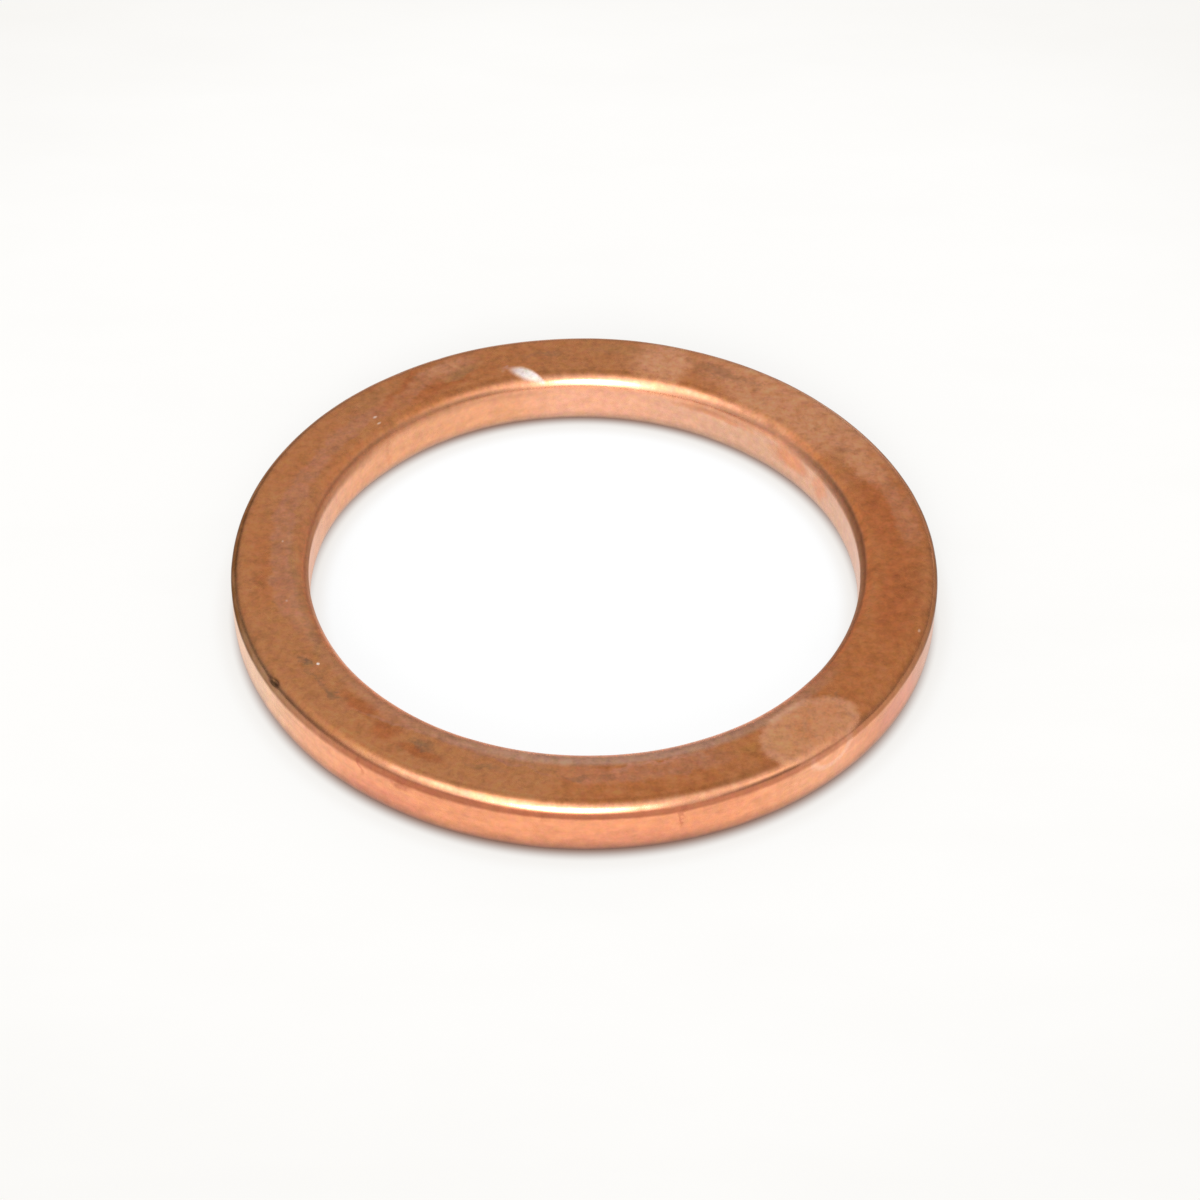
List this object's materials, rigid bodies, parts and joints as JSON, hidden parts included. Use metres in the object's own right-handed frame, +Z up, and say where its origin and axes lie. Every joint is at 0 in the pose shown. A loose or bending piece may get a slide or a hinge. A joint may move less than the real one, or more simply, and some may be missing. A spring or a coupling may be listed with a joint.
{
  "type": "copper exhaust gasket",
  "caption": "Flat copper crush ring with rounded edges, pressed between a cylinder head's exhaust port and the header pipe's flange to seal hot gas.",
  "frame": {"origin": "centre of the bore on the lower seating face", "axes": "+Z up along the bore's axis, from the lower seating face to the upper one"},
  "size_m": [0.048, 0.048, 0.0044],
  "materials": {
    "copper": "soft bare copper, satin, with light handling tarnish"
  },
  "bodies": {
    "root": {"gasket_ring": "copper"}
  },
  "joints": []
}
